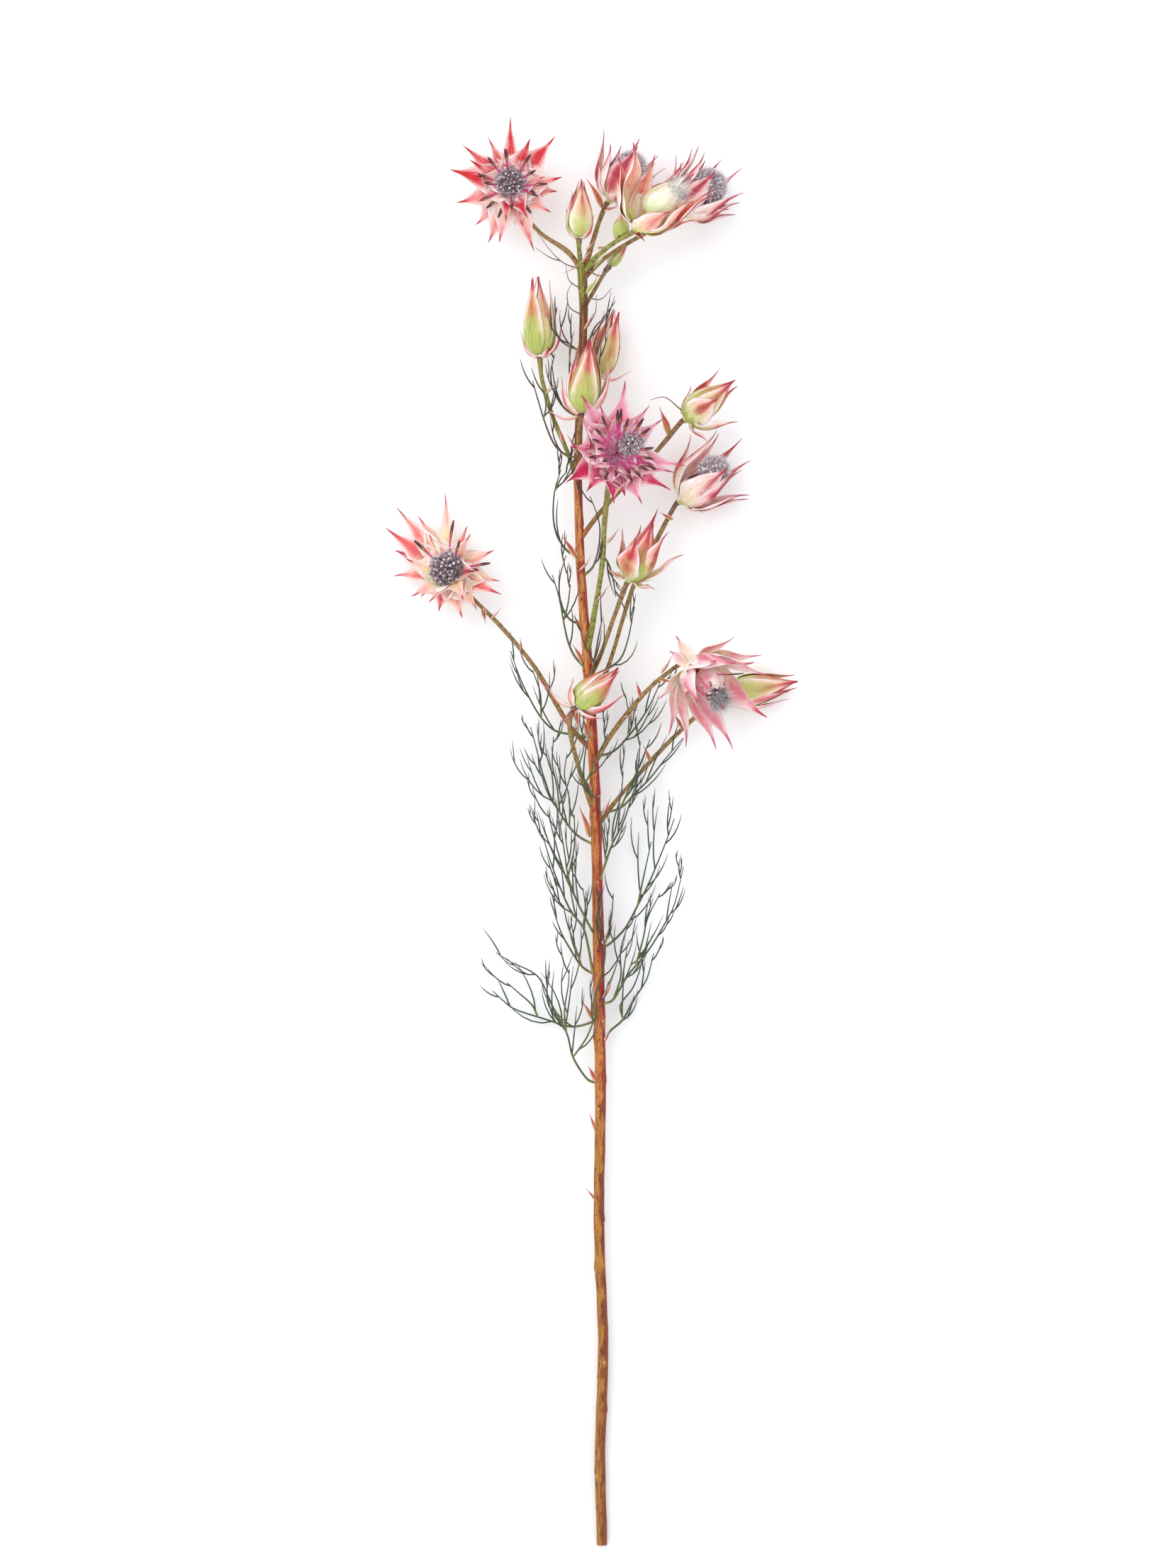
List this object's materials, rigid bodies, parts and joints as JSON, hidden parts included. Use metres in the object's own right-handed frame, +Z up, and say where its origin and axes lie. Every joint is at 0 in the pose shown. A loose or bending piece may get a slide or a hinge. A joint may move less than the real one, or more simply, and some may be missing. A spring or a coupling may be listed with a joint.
{
  "type": "blushing bride flower stem",
  "caption": "Cut stem of blushing bride (Serruria florida) with pink papery flower heads, green buds and fine needle leaves, lying on a surface.",
  "frame": {"origin": "middle of the bounding box in plan, at the surface that the stem lies on", "axes": "+Y along the stem from its cut end to the flowers, +Z up from the surface, +X across"},
  "size_m": [0.1668, 0.5802, 0.0606],
  "materials": {
    "bark": "satin",
    "stalk": "satin",
    "bract": "satin",
    "floret_fur": "matte",
    "bud": "satin",
    "needle_leaf": "matte"
  },
  "bodies": {
    "root": {"main_stem": "bark", "crown_left_bracts": "bract", "crown_left_florets": "floret_fur", "crown_middle_bracts": "bract", "crown_middle_florets": "floret_fur", "crown_front_bracts": "bract", "crown_front_florets": "floret_fur", "crown_right_bracts": "bract", "crown_right_florets": "floret_fur", "middle_open_bracts": "bract", "middle_open_florets": "floret_fur", "right_upper_bracts": "bract", "right_upper_florets": "floret_fur", "right_middle_bracts": "bract", "right_middle_florets": "floret_fur", "right_lower_bracts": "bract", "right_lower_florets": "floret_fur", "left_open_bracts": "bract", "left_open_florets": "floret_fur", "low_right_bracts": "bract", "low_right_florets": "floret_fur", "bud_crown": "bud", "bud_crown_green": "bud", "bud_crown_small": "bud", "bud_left": "bud", "bud_behind": "bud", "bud_front": "bud", "bud_low_front": "bud", "bud_low_right": "bud", "crown_left_stalk": "stalk", "crown_middle_stalk": "stalk", "crown_front_stalk": "stalk", "crown_right_stalk": "stalk", "middle_open_stalk": "stalk", "right_upper_stalk": "stalk", "right_middle_stalk": "stalk", "right_lower_stalk": "stalk", "left_open_stalk": "stalk", "low_right_stalk": "stalk", "bud_crown_stalk": "stalk", "bud_crown_small_stalk": "stalk", "bud_left_stalk": "stalk", "bud_behind_stalk": "stalk", "bud_front_stalk": "stalk", "bud_low_front_stalk": "stalk", "bud_low_right_stalk": "stalk", "leaf_low_left": "needle_leaf", "leaf_low_left_flat": "needle_leaf", "leaf_low_right": "needle_leaf", "leaf_low_right_long": "needle_leaf", "leaf_left_fan": "needle_leaf", "leaf_right_tall": "needle_leaf", "leaf_left_tall": "needle_leaf", "leaf_left_upper": "needle_leaf", "leaf_right_inner": "needle_leaf", "leaf_right_upper": "needle_leaf", "leaf_fork_front": "needle_leaf", "leaf_high_right": "needle_leaf", "leaf_high_left": "needle_leaf", "leaf_upper_left": "needle_leaf"}
  },
  "joints": []
}
